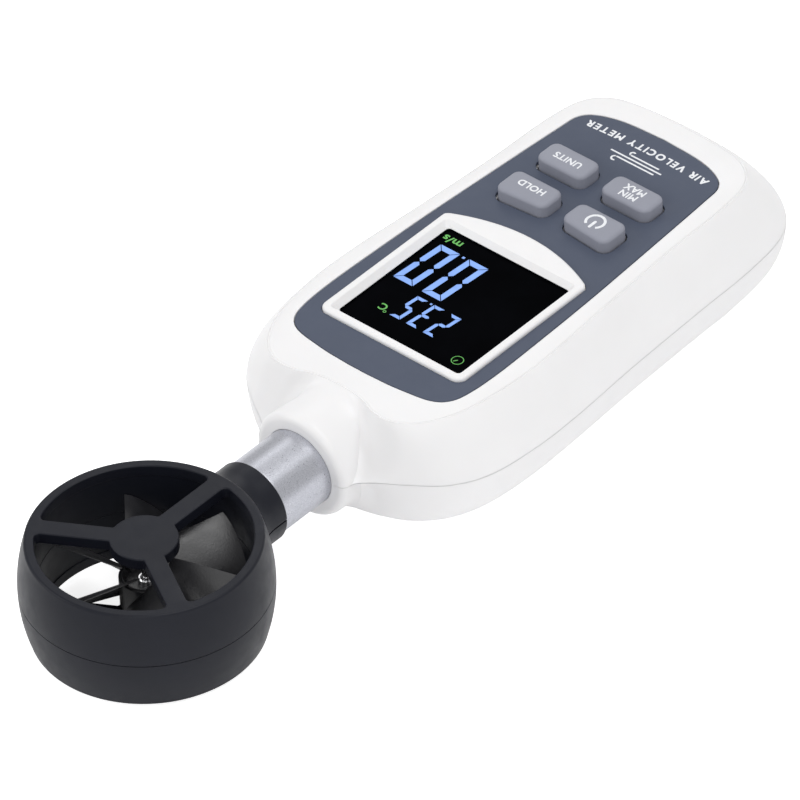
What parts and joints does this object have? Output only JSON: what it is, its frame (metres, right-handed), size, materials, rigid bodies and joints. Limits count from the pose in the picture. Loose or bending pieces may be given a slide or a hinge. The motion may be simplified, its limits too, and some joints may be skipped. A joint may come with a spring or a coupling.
{
  "type": "vane anemometer",
  "caption": "Hand-held vane anemometer: a wind-speed meter with a fixed impeller head, a silver neck, and a white handle with a display and push keys.",
  "frame": {"origin": "on the flat back of the handle, straight under the middle of the display window", "axes": "+X across the handle, +Y from the vane head to the tail of the handle, +Z out of the display"},
  "size_m": [0.0548, 0.1653, 0.024],
  "materials": {
    "body_white": "satin moulded",
    "panel_grey": "matte printed film",
    "key_grey": "matte",
    "head_black": "fine texture",
    "window_black": "polished",
    "sleeve_silver": "satin",
    "steel": "bright",
    "contact_metal": "plated",
    "board_green": "solder mask",
    "cell_wrap": "printed wrap",
    "cream_plastic": "moulded"
  },
  "bodies": {
    "base": {"front_case": "body_white", "rear_case": "body_white", "display_bezel": "body_white", "face_panel": "panel_grey", "display_window": "window_black", "lcd_glass": "window_black", "backlight": "cream_plastic", "lcd_flex_cable": "contact_metal", "power_switch": "head_black", "hold_switch": "head_black", "min_max_switch": "head_black", "units_switch": "head_black", "main_board": "board_green", "microcontroller": "head_black", "sensor_connector": "cream_plastic", "case_screw_1": "steel", "case_screw_2": "steel", "case_screw_3": "steel", "case_screw_4": "steel", "battery_1": "cell_wrap", "battery_2": "cell_wrap", "battery_3": "cell_wrap", "contact_spring_1": "contact_metal", "contact_spring_2": "contact_metal", "contact_spring_3": "contact_metal", "head_contact_plate": "contact_metal", "tail_contact_plate": "contact_metal", "head_front_shell": "head_black", "head_rear_shell": "head_black", "neck_sleeve": "sleeve_silver", "front_bearing": "steel", "rear_bearing": "steel", "speed_sensor": "board_green", "temperature_sensor": "steel", "sensor_cable": "head_black"},
    "rotor": {"impeller": "head_black", "impeller_bush": "steel", "impeller_shaft": "steel", "rotor_magnet": "steel"},
    "power_key": {"power_button": "key_grey"},
    "hold_key": {"hold_button": "key_grey"},
    "min_max_key": {"min_max_button": "key_grey"},
    "units_key": {"units_button": "key_grey"},
    "door": {"battery_door": "body_white"}
  },
  "joints": [
    {"name": "impeller_spin", "type": "hinge", "parent": "base", "child": "rotor", "pos_m": [0, -0.0771, 0.0105], "axis": [0, 0, 1], "continuous": true},
    {"name": "power_press", "type": "slide", "parent": "base", "child": "power_key", "axis": [0, 0, -1], "range_m": [0, 0.0008], "stiffness_N_per_m": 60, "springref_m": -0.001},
    {"name": "hold_press", "type": "slide", "parent": "base", "child": "hold_key", "axis": [0, 0, -1], "range_m": [0, 0.0008], "stiffness_N_per_m": 60, "springref_m": -0.001},
    {"name": "min_max_press", "type": "slide", "parent": "base", "child": "min_max_key", "axis": [0, 0, -1], "range_m": [0, 0.0008], "stiffness_N_per_m": 60, "springref_m": -0.001},
    {"name": "units_press", "type": "slide", "parent": "base", "child": "units_key", "axis": [0, 0, -1], "range_m": [0, 0.0008], "stiffness_N_per_m": 60, "springref_m": -0.001},
    {"name": "door_lift", "type": "slide", "parent": "base", "child": "door", "axis": [0, 0, -1], "range_m": [0, 0.012], "stiffness_N_per_m": 60, "springref_m": -0.002}
  ]
}
